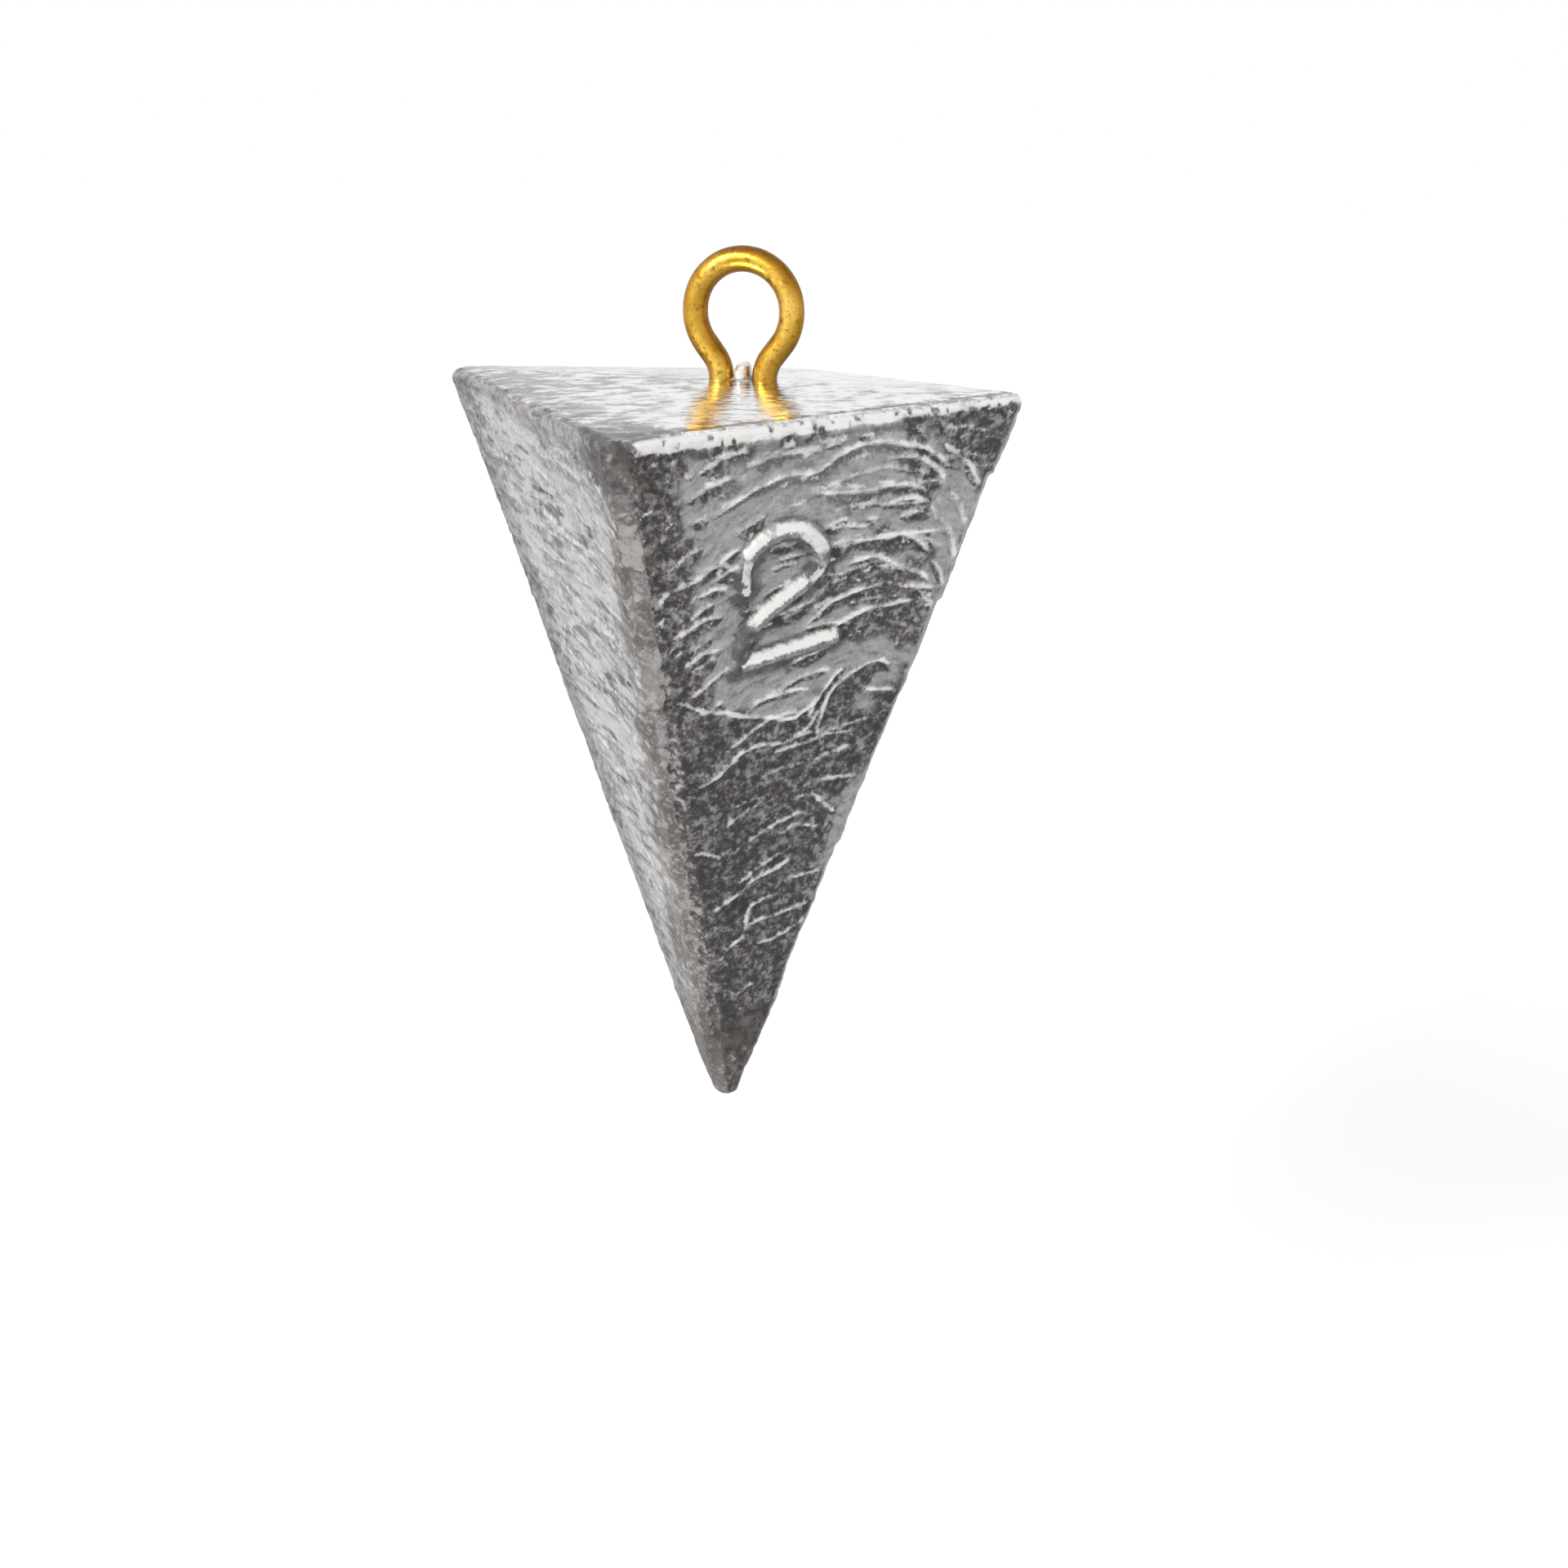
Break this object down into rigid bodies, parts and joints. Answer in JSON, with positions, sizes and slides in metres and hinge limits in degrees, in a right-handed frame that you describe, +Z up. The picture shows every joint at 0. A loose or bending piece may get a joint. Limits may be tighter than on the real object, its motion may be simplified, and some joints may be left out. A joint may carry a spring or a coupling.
{
  "type": "pyramid fishing sinker",
  "caption": "Four-sided lead pyramid sinker that hangs tip down, with a flat top and a bent brass wire eye cast into it to take a fishing line or snap.",
  "frame": {"origin": "middle of the eye's loop, where the line pulls", "axes": "+Z up from the blunt tip to the eye; the mould's parting plane is XZ and holds the loop and two of the long edges, with +X towards the corner that the eye sits nearer to; +Y through the loop's hole"},
  "size_m": [0.0273, 0.0272, 0.0419],
  "materials": {
    "lead": "cast lead, satin grey with chill ripples and pits, brighter on the top",
    "brass_wire": "satin drawn wire, slightly tarnished"
  },
  "bodies": {
    "root": {"lead_body": "lead", "wire_eye": "brass_wire"}
  },
  "joints": []
}
